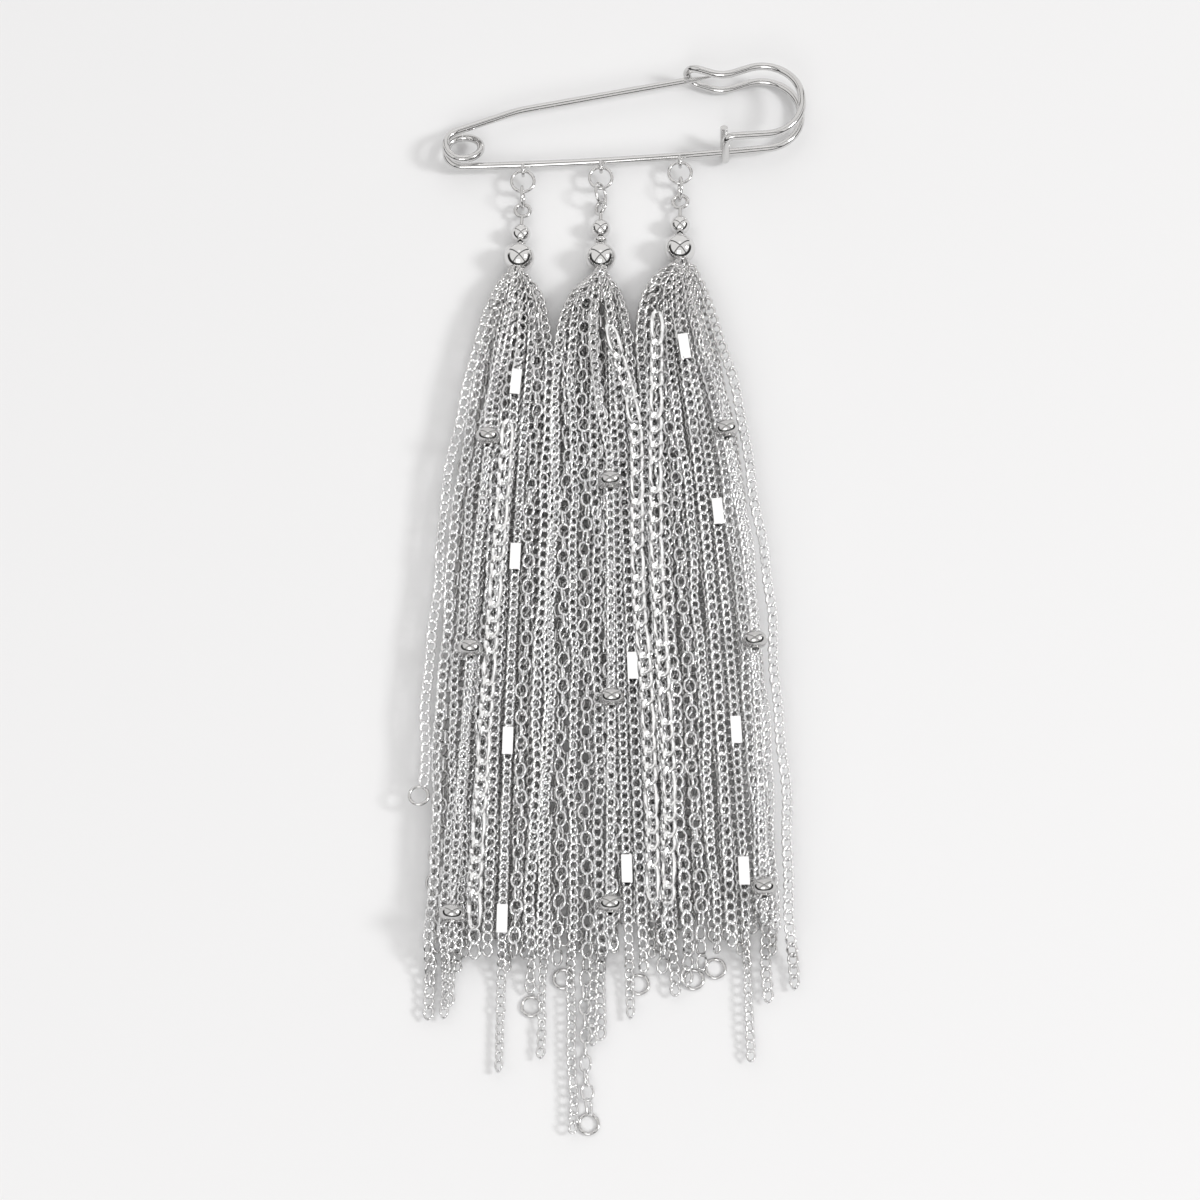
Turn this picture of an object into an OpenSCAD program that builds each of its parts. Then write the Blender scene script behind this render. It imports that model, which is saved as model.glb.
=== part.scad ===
// Kilt pin brooch with three tassels of fine chains, as it lies on a flat surface.
// Millimetres. X runs along the pin from its coil to its head, Y away from the tassels, Z up.
// Places are first worked out from the middle eye's place on the rail, and the whole is then
// shifted so that its box is centred on X and Y and stands on Z = 0.

/* [Pin] */
// Diameter of the pin's wire
wire_d = 1.5; // [1.3:0.1:1.6]
// Length of the rail, from under the coil's centre to the round of the head
rail_l = 61.5; // [60:0.5:64]
// How far the rail's middle corner lies towards the tassels
rail_bow = 1.3; // [0.6:0.1:1.8]
// Radius of the spring coil, at the middle of its wire
coil_r = 3.4; // [3.2:0.1:3.8]
// Height of the needle above the rail
needle_lift = 2.5; // [2.3:0.1:2.7]
// Height of the head's upper wire above its lower wire
head_gap = 5.1; // [5:0.1:5.6]
// Width of the head at its catch, from the rail
head_w = 17.4; // [17.2:0.1:18.4]
// Reach of the head past the rail's end
head_reach = 5.1; // [4.5:0.1:6]
// Radius of the head's round, at the middle of its wire
head_round = 7.6; // [7:0.1:7.7]
// Length of the needle, along the rail
needle_l = 50; // [48.5:0.5:51]
// Length of the needle's tapered point
point_l = 6; // [4:0.5:8]
// Height of the rail above the surface
rail_z = 2.52; // [2.5:0.01:2.6]
// Roll of the pin about its rail, needle side down
pin_roll = 5.5; // [4:0.5:6]
// Turn of the pin on the surface
pin_turn = 3.9; // [2:0.1:5]

/* [Drops] */
// Places of the three eyes along the rail
eye_u = [11.3, 26.5, 42]; // [8:0.5:50]
// Radius of an eye, at the middle of its wire
eye_r = 0.95; // [0.9:0.05:1.05]
// Diameter of an eye's wire
eye_wire_d = 0.7; // [0.6:0.05:0.75]
// Radius of the first jump ring, at the middle of its wire
big_ring_r = 2.2; // [2.15:0.05:2.3]
// Diameter of the first jump ring's wire
big_ring_d = 0.65; // [0.55:0.05:0.7]
// Radius of the second jump ring, at the middle of its wire
small_ring_r = 2.2; // [2.1:0.05:2.25]
// Diameter of the second jump ring's wire
small_ring_d = 0.6; // [0.5:0.05:0.6]
// Radius of an eye pin's loop, at the middle of its wire
loop_r = 1.45; // [1.35:0.05:1.5]
// Diameter of an eye pin's wire
eye_pin_d = 0.8; // [0.7:0.05:0.85]
// Diameter of a small bead
small_bead_d = 3.8; // [3.6:0.1:4.2]
// Diameter of a big bead
big_bead_d = 6; // [5.6:0.1:6]
// Diameter of the thin bead between the middle drop's beads
spacer_d = 2.6; // [2.2:0.1:3.2]
// Thickness of the thin bead
spacer_t = 0.9; // [0.7:0.1:1.2]
// Bore of the beads on an eye pin
bead_bore = 1.1; // [1:0.05:1.3]

/* [Tassels] */
// Length over which the outer tassels' free edges fan out
fan_l = 40; // [36:1:46]
// Length over which a tassel spreads until it meets its neighbour
meet_l = 5; // [4:0.5:6]
// Diameter of a strand in the upper layer
strand_d = 2.2; // [2:0.05:2.3]
// Diameter of a lock of strands in the lower layer
lock_d = 3.5; // [3.2:0.1:3.6]
// Radius of the gathered strands at a tassel's head
head_r = 1.6; // [1.4:0.1:1.8]
// Wire diameter of the figaro chain
figaro_wire = 0.62; // [0.5:0.02:0.64]
// Outer width of a figaro link
figaro_w = 2.6; // [2.5:0.05:2.8]
// Outer length of a long figaro link
figaro_long = 7.6; // [7:0.1:8.4]
// Outer length of a short figaro link
figaro_short = 4.4; // [4.2:0.1:4.8]
// Diameter of a bead on a strand
rondelle_d = 4.6; // [4:0.1:4.8]
// Thickness of a bead on a strand
rondelle_t = 3.4; // [2.8:0.1:3.8]
// Bore of a bead on a strand
rondelle_bore = 1.6; // [1.4:0.1:1.8]
// Width of a square bar
bar_w = 1.9; // [1.7:0.1:2.1]
// Length of a square bar
bar_l = 5.2; // [4.6:0.2:6]
// Wall of a square bar
bar_wall = 0.3; // [0.2:0.05:0.4]
// Outer radius of the ring that ends a strand
end_ring_r = 2; // [1.8:0.1:2.1]
// Wire diameter of the ring that ends a strand
end_ring_d = 0.6; // [0.5:0.05:0.7]

/* [Hidden] */
SILVER = [0.83, 0.83, 0.85];
SIDES = ["left", "middle", "right"];
seat = 0.12;               // clearance between pieces that rest on each other
wrap_gap = 0.25;           // clearance between the rail and the wire wrapped round it
joint_overlap = 0.04;      // reach of a straight wire into the bends at its ends
joint_step = 0.01;         // difference in diameter between a bend and a straight wire
bend_room = 0.04;          // straight wire left between two bends that meet
$fn = 48;

// Columns: place of the head along X, place of the head along Y
tassels = [[-15.9, -25.6], [0.1, -25.6], [15.3, -23.7]];
// Lines that the tassels' edges fan out to, from left to right. The two in the middle are where neighbours meet.
// Columns: place along X at the heads, drift to the right for each mm down, length over which it fans out
edge_lines = [[-33, 0, fan_l], [-8.7, -0.018, meet_l], [6.2, 0.0385, meet_l], [34.8, 0, fan_l + 5]];
// Lengths of the nine strands of each upper layer, from the left edge to the right edge
strand_l = [
  [103, 145, 145, 133, 135, 135, 155, 134, 141],
  [152, 136, 166, 162, 134, 133, 145, 137, 128],
  [143, 140, 138, 136, 135, 155, 128, 132, 142]
];
// Lengths of the six locks of each lower layer
lock_l = [
  [142, 146, 138, 130, 138, 136],
  [134, 134, 150, 144, 130, 135],
  [136, 130, 134, 138, 146, 138]
];
// Bars: tassel, strand, how far down the strand the middle of the bar lies, and how high it lies above the strands
bars = [
  [0, 5, 24.5, 2.05], [0, 6, 59.3, 0], [0, 6, 95.4, 0], [0, 6, 128.7, 0],
  [1, 7, 80.9, 0], [1, 6, 119.5, 0],
  [2, 4, 19, 2.05], [2, 5, 52.1, 0], [2, 5, 95.2, 0], [2, 5, 121.8, 0]
];
// Rings that end strands: tassel, strand, how far the ring lies to the right, how far it lies above the strand's
// foot. A ring with 0 lies on the surface.
ringed = [
  [0, 0, -0.75, 0.72], [0, 8, 0.4, 0], [1, 1, 0.9, 0], [1, 3, 0.3, 0], [1, 7, -0.8, 0], [2, 2, -1.5, 0],
  [2, 3, -0.2, 0]
];
// Route of each tassel's beaded strand, and which of its points carry the beads
bead_route = [
  [[-16.4, -27.5], [-18.8, -42], [-20.9, -61.8], [-22.4, -82], [-23.6, -104.2], [-24.9, -130], [-26, -154.2],
   [-26, -158]],
  [[-0.6, -27.5], [-1.5, -40], [0, -55], [1.9, -70.8], [2, -92], [2.1, -113.7], [1.9, -135], [1.8, -152.5],
   [1.8, -156.3]],
  [[16, -25.6], [19.6, -42], [23.6, -60.3], [26.5, -80], [28.1, -102.6], [28.8, -125], [28.9, -149.4],
   [28.9, -153.2]]
];
bead_at = [[2, 4, 6], [3, 5, 7], [2, 4, 6]];
// Route of each tassel's figaro chain
figaro_route = [
  [[-17.2, -58], [-17.9, -71], [-18.4, -80], [-19, -88], [-19.8, -102],
   [-20.7, -118], [-21.4, -133], [-22.1, -148], [-22.1, -160]],
  [[1.8, -38], [3.6, -45], [5.8, -53.5], [6.9, -60], [6.9, -87], [7.2, -96], [8, -104], [8.6, -114],
   [9, -128], [9.3, -140], [9.3, -154.5]],
  [[10.9, -35], [10.6, -53], [10.3, -69], [10.4, -84], [10.9, -97], [11.5, -110], [12.1, -120], [12.5, -130],
   [12.2, -145], [11.9, -158.5]]
];

// Levels above the surface
lock_z = lock_d/2;
strand_z = lock_d + seat + strand_d/2;
layer_top = lock_d + seat + strand_d;
head_z = 3.6;
figaro_half = (figaro_w/2 - figaro_wire/2)*sin(45) + figaro_wire/2;
figaro_z = layer_top + seat + figaro_half;
bead_z = layer_top + seat + rondelle_d/2;
bead_strand_z = layer_top + strand_d/2 - 0.3;

function unit(v) = v/norm(v);
function lerp(a, b, t) = a + (b - a)*t;
function corner_turn(p, i) = acos(max(-1, min(1, unit(p[i] - p[i-1])*unit(p[i+1] - p[i]))));
function corner_cut(p, r, i) = i == 0 || i == len(p) - 1 ? 0 : r[i]*tan(corner_turn(p, i)/2);
// Any frame whose third axis is z
function side_of(z) = unit(cross(z, abs(z[0]) < 0.7 ? [1, 0, 0] : [0, 1, 0]));
function frame(x, y, z, at) = [
  [x[0], y[0], z[0], at[0]],
  [x[1], y[1], z[1], at[1]],
  [x[2], y[2], z[2], at[2]],
  [0, 0, 0, 1]
];

// Straight round wire between two places. It reaches a little into the bends at its ends, and is a hair thinner.
module straight(a, b, d) {
  z = unit(b - a);
  x = side_of(z);
  multmatrix(frame(x, cross(z, x), z, a - z*joint_overlap))
    cylinder(d = d - joint_step, h = norm(b - a) + 2*joint_overlap);
}

// The bend of radius r at corner i of the places p, and its middle
function bend_middle(p, r, i) =
  p[i] + unit(unit(p[i+1] - p[i]) - unit(p[i] - p[i-1]))*r/cos(corner_turn(p, i)/2);
module bend(p, r, i, d) {
  a = unit(p[i] - p[i-1]);
  turn = corner_turn(p, i);
  middle = bend_middle(p, r, i);
  x = unit(p[i] - a*r*tan(turn/2) - middle);
  multmatrix(frame(x, a, cross(x, a), middle))
    rotate_extrude(angle = turn) translate([r, 0]) circle(d = d);
}

// Round wire bent at the places p, each with its own bend radius
module bent_wire(p, r, d) {
  last = len(p) - 1;
  for (i = [0:last-1]) {
    dir = unit(p[i+1] - p[i]);
    straight(p[i] + dir*corner_cut(p, r, i), p[i+1] - dir*corner_cut(p, r, i+1), d);
  }
  for (i = [1:last-1]) bend(p, r[i], i, d);
}

// Pin, in its own frame: u along the rail from the coil, v towards the needle, w up from the rail
mid_u = eye_u[1];
pin_y = rail_bow/2 + 0.1;
function rail_v(u) = -rail_bow*(1 - pow(abs(u - rail_l/2)/(rail_l/2), 2))/2;
// From the pin's own frame to its place on the surface
function placed(p) =
  let (a = [p[0] - mid_u, p[1]*cos(pin_roll) + p[2]*sin(pin_roll), p[2]*cos(pin_roll) - p[1]*sin(pin_roll)])
  [a[0]*cos(pin_turn) - a[1]*sin(pin_turn), a[0]*sin(pin_turn) + a[1]*cos(pin_turn) + pin_y, a[2] + rail_z];
module pin_place() {
  translate([0, pin_y, rail_z]) rotate([0, 0, pin_turn]) translate([-mid_u, 0, 0]) rotate([-pin_roll, 0, 0])
    children();
}

// Wrap of the head's wire round the rail: corners of the way round a circle about the rail
wrap_r = wire_d + wrap_gap;
wrap_in = -107;            // way the wire comes down in front of the rail
wrap_under = -25;          // way it runs under the rail
wrap_out = 70;             // way its end stands up behind the rail
wrap_end = 4.2;
wrap_bend = 1.6;
wrap_u = rail_l - 10.5;
function way(h) = [0, cos(h), sin(h)];
function wrap_corner(h1, h2) = [wrap_u, 0, 0] + way((h1 + h2)/2 - 90)*wrap_r/cos((h2 - h1)/2);
// Where the line that comes down to the wrap meets the height of the upper wire
wrap_top = let (t = wrap_corner(wrap_in, wrap_under)) t - way(wrap_in)*(head_gap - t[2])/abs(sin(wrap_in));

// Corners of the head in plan, going on from the rail's line, and their bend radii
brow_up = 1.2;             // how far the outer corner lies outside the head's width
dip_back = 9.9;            // place and depth of the dip behind the rail's end
dip = 3.3;
catch_u = rail_l - 16.6;
catch_drop = 0.3;
rail_mid = [rail_l/2, -rail_bow];
head_plan = [[rail_l + head_reach, rail_bow*head_reach/rail_mid[0]], [rail_l + head_reach, head_w + brow_up],
  [rail_l - dip_back, head_w - dip], [catch_u, head_w - catch_drop]];
head_bends = [head_round, head_round, 6];
catch_r = head_gap/2 - bend_room;
bow_r = 0.22*rail_l*rail_l/rail_bow;
upper_v = wrap_top[1];
function lifted(q, w) = [q[0], q[1], w];

module pin_frame() {
  // The wire's end stands a seat's width from the needle's end, under the coil
  coil_start = [-seat - joint_overlap, 2*coil_r, 0];
  bend_r = coil_r - bend_room;
  path = concat(
    [coil_start, [-coil_r, 2*coil_r, 0], [-coil_r, 0, 0], lifted(rail_mid, 0)],
    [for (i = [0:3]) lifted(head_plan[i], 0)],
    [for (i = [3:-1:1]) lifted(head_plan[i], head_gap)],
    [[rail_l + head_reach, upper_v, head_gap], wrap_top, wrap_corner(wrap_in, wrap_under),
     wrap_corner(wrap_under, wrap_out)],
    [wrap_corner(wrap_under, wrap_out) + way(wrap_out)*(wrap_r*tan((wrap_out - wrap_under)/2) + wrap_end)]
  );
  radii = concat(
    [0, coil_r - 2*seat, bend_r, bow_r], head_bends, [catch_r, catch_r],
    [for (i = [2:-1:0]) head_bends[i]], [wrap_bend, wrap_r - bend_room, wrap_r - bend_room, 0]
  );
  color(SILVER) pin_place() {
    bent_wire(path, radii, wire_d);
    for (u = eye_u) translate([u, rail_v(u) - eye_drop, 0]) rotate([0, 90, 0])
      rotate_extrude() translate([eye_r, 0]) circle(d = eye_wire_d);
  }
}

// Needle: one and a half turns of the coil end in the arm, which bends once near the coil
needle_start = 18;         // way the arm leaves the coil
needle_bend_u = 11;
needle_bend_r = 25;
needle_tip = [needle_l, head_w - 1.2, needle_lift];
function arm_v(u) = coil_r + coil_r/cos(needle_start) + u*tan(needle_start);
needle_bend = [needle_bend_u, arm_v(needle_bend_u), needle_lift];
needle_dir = unit(needle_tip - needle_bend);

module needle() {
  shoulder = needle_tip - needle_dir*point_l;
  path = [
    shoulder, needle_bend, [-coil_r, arm_v(-coil_r), needle_lift], [-coil_r, 0, needle_lift],
    [coil_r, 0, needle_lift], [coil_r, 2*coil_r, 0], [bend_room + joint_step, 2*coil_r, 0]
  ];
  bend_r = coil_r - bend_room;
  x = side_of(needle_dir);
  color(SILVER) pin_place() {
    bent_wire(path, [0, needle_bend_r, bend_r, bend_r, bend_r, bend_r, 0], wire_d);
    multmatrix(frame(x, cross(needle_dir, x), needle_dir, shoulder))
      cylinder(d1 = wire_d, d2 = 0.3, h = point_l);
  }
}

// Drops: each ring holds the wire of the next with a little room
eye_drop = wire_d/2 + 0.75;
ring_lean = 5;
small_lean = [4, 26, -6];  // lean of each second ring from upright
loop_roll = [0, 55, 8];    // roll of each eye pin's loop from level
loop_slack = 0.22;         // extra room where a loop's wire crosses the ring's at a slant
loop_z = 1.75;
eye_at = [for (u = eye_u) placed([u, rail_v(u) - eye_drop, 0])];
ring_lie = [0, cos(ring_lean), sin(ring_lean)];
big_ring_top = [for (e = eye_at) e - [0, 0.1, 0]];
big_ring_at = [for (p = big_ring_top) p - ring_lie*big_ring_r];
small_room = (big_ring_d + small_ring_d)/2 + seat;
small_ring_z = small_ring_r + small_ring_d/2 + seat/2;
small_ring_at = [for (p = big_ring_top) let (foot = p - 2*ring_lie*big_ring_r)
  [foot[0], foot[1] + small_room - small_ring_r, small_ring_z]];
// The loop hangs on the lower part of the second ring's inside
loop_hold = small_ring_r - (small_ring_d + eye_pin_d)/2 - seat;
loop_down = sqrt(pow(loop_hold, 2) - pow(small_ring_z - loop_z, 2));
loop_at = [for (s = small_ring_at) [s[0], s[1] - loop_down - loop_r + loop_slack, loop_z]];

module wire_ring(r, d) {
  rotate_extrude() translate([r, 0]) circle(d = d);
}
module big_ring(t) {
  color(SILVER) translate(big_ring_at[t]) rotate([ring_lean, 0, 0]) wire_ring(big_ring_r, big_ring_d);
}
module small_ring(t) {
  color(SILVER) translate(small_ring_at[t]) rotate([0, 90 - small_lean[t], 0]) wire_ring(small_ring_r, small_ring_d);
}

// The shank of an eye pin runs from the loop straight through the beads into the tassel's head
socket_l = 2.2;
socket_z = 3.9;
shank_end = [for (row = tassels) [row[0], row[1] - socket_l + seat, socket_z]];
shank_dir = [for (t = [0:2]) unit(shank_end[t] - loop_at[t])];
function on_shank(t, up) = shank_end[t] - shank_dir[t]*(up + socket_l);
module eye_pin(t) {
  dir = shank_dir[t];
  side = unit(cross(dir, [0, 0, 1]));
  axis = cross(side, dir)*cos(loop_roll[t]) + side*sin(loop_roll[t]);
  color(SILVER) {
    multmatrix(frame(dir, cross(axis, dir), axis, loop_at[t])) wire_ring(loop_r, eye_pin_d);
    straight(loop_at[t] + dir*loop_r, shank_end[t], eye_pin_d);
  }
}

// Beads on the shank, by the distance of their middles from the head
big_bead_up = 4;
bead_gap = 0.7;            // room between the two beads of the outer drops
middle_gap = 1.9;          // the same in the middle drop, round the thin bead
function gap(t) = t == 1 ? middle_gap : bead_gap;
small_bead_up = [for (t = [0:2]) big_bead_up + big_bead_d/2 + gap(t) + small_bead_d/2];
module on_wire(t, up) {
  dir = shank_dir[t];
  x = side_of(dir);
  multmatrix(frame(x, cross(dir, x), dir, on_shank(t, up))) children();
}
module drilled_bead(d) {
  difference() {
    sphere(d = d);
    cylinder(d = bead_bore, h = 2*d, center = true);
  }
}
module big_bead(t) {
  color(SILVER) on_wire(t, big_bead_up) drilled_bead(big_bead_d);
}
module small_bead(t) {
  color(SILVER) on_wire(t, small_bead_up[t]) drilled_bead(small_bead_d);
}
module spacer_middle() {
  color(SILVER) on_wire(1, big_bead_up + big_bead_d/2 + middle_gap/2) difference() {
    rotate_extrude() union() {
      translate([0, -spacer_t/2]) square([spacer_d/2 - spacer_t/2, spacer_t]);
      translate([spacer_d/2 - spacer_t/2, 0]) intersection() {
        circle(d = spacer_t);
        translate([0, -spacer_t]) square(2*spacer_t);
      }
    }
    cylinder(d = bead_bore, h = 2*spacer_t, center = true);
  }
}

// Tassels. s is the distance down from the head, c the place across from -1 to 1.
// The strands leave the head close together, and then fan out to the lines of the tassel's two edges.
head_back = 0.7;
head_open = 0.12;          // share of the fan's width that is there at once
head_pinch = 0.6;          // how much the head is drawn in under the bead
pinch_l = 1.2;
edge_room = strand_d/2 + 0.15;
function opening(s, l) =
  (1 - (1 - head_open)*exp(-s/l))*(1 - head_pinch*exp(-(s + head_back + 0.1)/pinch_l));
function meets(t, side) = t + side >= 0 && t + side < len(tassels);
function edge(t, side, s) =
  let (line = edge_lines[t + (side + 1)/2],
       goal = line[0] + line[1]*s - (meets(t, side) ? side*edge_room : 0))
  lerp(tassels[t][0], goal, opening(s, line[2]));
function across(t, c, s) = lerp(edge(t, -1, s), edge(t, 1, s), (c + 1)/2);
function settle(s) = 1 - exp(-max(s, 0)/5);
// Near their ends the upper strands sink almost to the surface
sink_from = 131;
sink_l = 8;
foot_z = end_ring_d + seat + strand_d/2;
function ease(t) = let (c = max(0, min(1, t))) c*c*(3 - 2*c);
function upper_z(s) = lerp(lerp(head_z + 0.5, strand_z, settle(s)), foot_z, ease((s - sink_from)/sink_l));
function upper(t, c, s) = [across(t, c, s), tassels[t][1] - s, upper_z(s)];
function lower(t, c, s) = [across(t, c, s), tassels[t][1] - s, lerp(head_z, lock_z, settle(s))];

// Rings along a strand, as [distance, radius]: full size, but thin where a bar is threaded on it
STATIONS = concat([1, 3.5, 7, 12, 18, 26, 36, 50, 68, 90, 120],
  [for (k = [0, 0.25, 0.5, 0.75, 1.05]) sink_from + k*sink_l]);
thin_r = 0.3;
function bars_on(t, j) = [for (b = bars) if (b[0] == t && b[1] == j) b];
function clear_of(s, list, reach) = len([for (b = list) if (abs(s - b[2]) < reach) 1]) == 0;
function plain_stops(list, reach, l) = [for (s = STATIONS) if (s < l - 2 && clear_of(s, list, reach)) s];
lead = 0.6;                // full strand left between a bar and the thin part in it
rise_l = 4;                // length over which a strand rises to a bar that lies on its neighbours
function neck(b, r) =
  let (s = b[2], half = bar_l/2, far = b[3] > 0 ? [lead + rise_l] : [])
  concat([for (k = far) [s - half - k, r]], [[s - half - lead, r], [s - half - seat, thin_r]],
    [[s + half + seat, thin_r], [s + half + lead, r]], [for (k = far) [s + half + k, r]]);
function merged(a, b) =
  len(a) == 0 ? b : len(b) == 0 ? a :
  a[0][0] < b[0][0] ? concat([a[0]], merged(tail(a), b)) : concat([b[0]], merged(a, tail(b)));
function tail(a) = [for (i = [1:1:len(a)-1]) a[i]];
function strand_stops(t, j, l) =
  let (b = bars_on(t, j),
       plain = [for (s = plain_stops(b, bar_l/2 + 1, l)) [s, strand_d/2]],
       necks = [for (q = b) each neck(q, strand_d/2)])
  concat(merged(plain, necks), [[l, strand_d/2]]);

// Closed tube through places p with radii r; the rings stand square to the way Y
module tube(p, r, n) {
  m = len(p);
  points = [for (i = [0:m-1], k = [0:n-1]) p[i] + r[i]*[cos(360*(k + 0.5)/n), 0, sin(360*(k + 0.5)/n)]];
  sides = [for (i = [0:m-2], k = [0:n-1]) let (a = i*n + k, b = i*n + (k + 1)%n) [a, a + n, b + n, b]];
  polyhedron(points, concat(sides, [[for (k = [0:n-1]) k], [for (k = [n-1:-1:0]) (m - 1)*n + k]]));
}

function strand_c(j) = -1 + j/4;
function rise(t, j, s) =
  max([0, for (b = bars_on(t, j)) b[3]*ease(1 - (abs(s - b[2]) - bar_l/2 - lead)/rise_l)]);
function strand_at(t, j, s) = upper(t, strand_c(j), s) + [0, 0, rise(t, j, s)];
module strand(t, j) {
  stops = strand_stops(t, j, strand_l[t][j]);
  tube([for (s = stops) strand_at(t, j, s[0])], [for (s = stops) s[1]], 6);
}
function lock_c(j) = -0.86 + 1.72*j/5;
module lock(t, j) {
  l = lock_l[t][j];
  stops = concat([for (s = STATIONS) if (s < min(l - 6, sink_from)) s], [l]);
  tube([for (s = stops) lower(t, lock_c(j), s)], [for (s = stops) lock_d/2/cos(180/8)], 8);
}

// The beaded strand lies on top, rises to each bead's bore and is thin inside it
function bead_dir(t, i) = let (p = bead_route[t]) unit([each (p[i+1] - p[i-1]), 0]);
function bead_place(t, i) = [each bead_route[t][i], bead_z];
module beaded_strand(t) {
  route = bead_route[t];
  last = len(route) - 1;
  is_bead = [for (i = [0:last]) len([for (b = bead_at[t]) if (b == i) 1]) > 0];
  half = rondelle_t/2;
  rows = [for (i = [0:last]) each
    is_bead[i] ? [for (k = [[-4.5, 0], [-0.6, 1], [-seat, 2], [seat, 2], [0.6, 1]])
      let (far = k[0] < 0 ? -half : half, at = bead_place(t, i) + bead_dir(t, i)*(far + k[0]))
      k[1] == 0 ? [[at[0], at[1], bead_strand_z], strand_d/2] : [at, k[1] == 1 ? strand_d/2 : thin_r]] :
    i == last ? [[[route[i][0], route[i][1], bead_z], strand_d/2]] :
    [[[route[i][0], route[i][1], i < 2 ? strand_z : bead_strand_z], strand_d/2]]];
  tube([for (q = rows) q[0]], [for (q = rows) q[1]], 6);
}

// The gathered strands just under the head, as overlapping flat sections
GATHER = [-head_back, 0.5, 2, 4.5, 7, 9.5, 12, 14.5];
module gather_section(t, s) {
  flat = lerp(head_r, strand_z/2, settle(s));
  for (c = [-1, 1]) translate([across(t, 0.8*c, s), tassels[t][1] - s, lerp(head_z, layer_top/2, settle(s))])
    rotate([90, 0, 0]) cylinder(r = flat*0.92, h = 0.4, $fn = 12);
}
module tassel(t) {
  color(SILVER) difference() {
    union() {
      for (i = [0:len(GATHER)-2]) hull() {
        gather_section(t, GATHER[i]);
        gather_section(t, GATHER[i+1]);
      }
      for (j = [0:8]) strand(t, j);
      for (j = [0:5]) lock(t, j);
      beaded_strand(t);
    }
    on_wire(t, 2) cylinder(d = bead_bore + 0.3, h = socket_l + 2 + seat, $fn = 12);
  }
}

// Figaro chain: one long link, then three short ones, each turned a quarter against the last
module link(l, w, d) {
  r = (w - d)/2;
  half = l/2 - w/2;
  for (side = [0, 180]) rotate([0, 0, side]) {
    translate([half, 0, 0]) rotate([0, 0, -90]) rotate_extrude(angle = 180) translate([r, 0]) circle(d = d);
    translate([-half, r, 0]) rotate([0, 90, 0]) cylinder(d = d, h = 2*half);
  }
}
function route_l(p, i) = norm(p[i+1] - p[i]);
function total_l(p, i = 0) = i >= len(p) - 1 ? 0 : route_l(p, i) + total_l(p, i + 1);
function along(p, s, i = 0) =
  s <= route_l(p, i) || i == len(p) - 2 ? p[i] + (p[i+1] - p[i])*s/route_l(p, i) : along(p, s - route_l(p, i), i + 1);
link_step = figaro_wire + 0.14;
function core_l(k) = (k%4 == 0 ? figaro_long : figaro_short) - figaro_wire;
function link_start(k) = k == 0 ? 0 : link_start(k - 1) + core_l(k - 1) - link_step;
module figaro(t) {
  route = figaro_route[t];
  room = total_l(route) - figaro_long;
  count = len([for (k = [0:80]) if (link_start(k) < room) 1]);
  color(SILVER) for (k = [0:count-1]) {
    a = along(route, link_start(k));
    b = along(route, link_start(k) + core_l(k));
    translate([(a[0] + b[0])/2, (a[1] + b[1])/2, figaro_z]) rotate([0, 0, atan2(b[1] - a[1], b[0] - a[0])])
      rotate([45 + 90*(k%2), 0, 0]) link(core_l(k) + figaro_wire, figaro_w, figaro_wire);
  }
}

// Beads on the beaded strands
module rondelle(t, n) {
  i = bead_at[t][n];
  dir = bead_dir(t, i);
  edge = rondelle_t*0.42;
  color(SILVER) translate(bead_place(t, i)) rotate([0, 0, atan2(dir[1], dir[0])]) rotate([0, 90, 0]) difference() {
    rotate_extrude() union() {
      translate([0, -rondelle_t/2]) square([rondelle_d/2 - edge, rondelle_t]);
      intersection() {
        translate([rondelle_d/2 - edge, 0]) scale(edge) circle(r = 1);
        translate([rondelle_d/2 - edge, -edge]) square([edge, 2*edge]);
      }
    }
    cylinder(d = rondelle_bore, h = 2*rondelle_t, center = true);
  }
}

// Square bars on the upper strands
module bar(n) {
  t = bars[n][0];
  j = bars[n][1];
  a = strand_at(t, j, bars[n][2] - bar_l/2);
  b = strand_at(t, j, bars[n][2] + bar_l/2);
  flat = norm([b[0] - a[0], b[1] - a[1]]);
  color(SILVER) translate((a + b)/2) rotate([0, -atan2(b[2] - a[2], flat), atan2(b[1] - a[1], b[0] - a[0])])
    difference() {
      cube([bar_l, bar_w, bar_w], center = true);
      cube([2*bar_l, bar_w - 2*bar_wall, bar_w - 2*bar_wall], center = true);
    }
}

// Rings at the ends of strands
ring_off = 0.3;
module end_ring(n) {
  t = ringed[n][0];
  j = ringed[n][1];
  end = strand_at(t, j, strand_l[t][j]);
  height = ringed[n][3] > 0 ? end[2] - foot_z + ringed[n][3] : 0;
  color(SILVER) translate([end[0] + ringed[n][2], end[1] - end_ring_r - ring_off, height + end_ring_d/2])
    wire_ring(end_ring_r - end_ring_d/2, end_ring_d);
}

// The whole is centred by its own outermost places
function head_edge(i, w) =
  placed(bend_middle([for (q = concat([rail_mid], head_plan)) lifted(q, w)], head_bends[i], i + 1));
x_lo = upper(0, -1, strand_l[0][0])[0] + ringed[0][2] - end_ring_r;
x_hi = head_edge(0, 0)[0] + head_round + wire_d/2;
y_lo = tassels[1][1] - strand_l[1][3] - ring_off - 2*end_ring_r;
y_hi = head_edge(1, head_gap)[1] + head_round*cos(pin_roll) + wire_d/2;
centre = [(x_lo + x_hi)/2, (y_lo + y_hi)/2, 0];
module whole() {
  translate(-centre) children();
}

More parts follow.
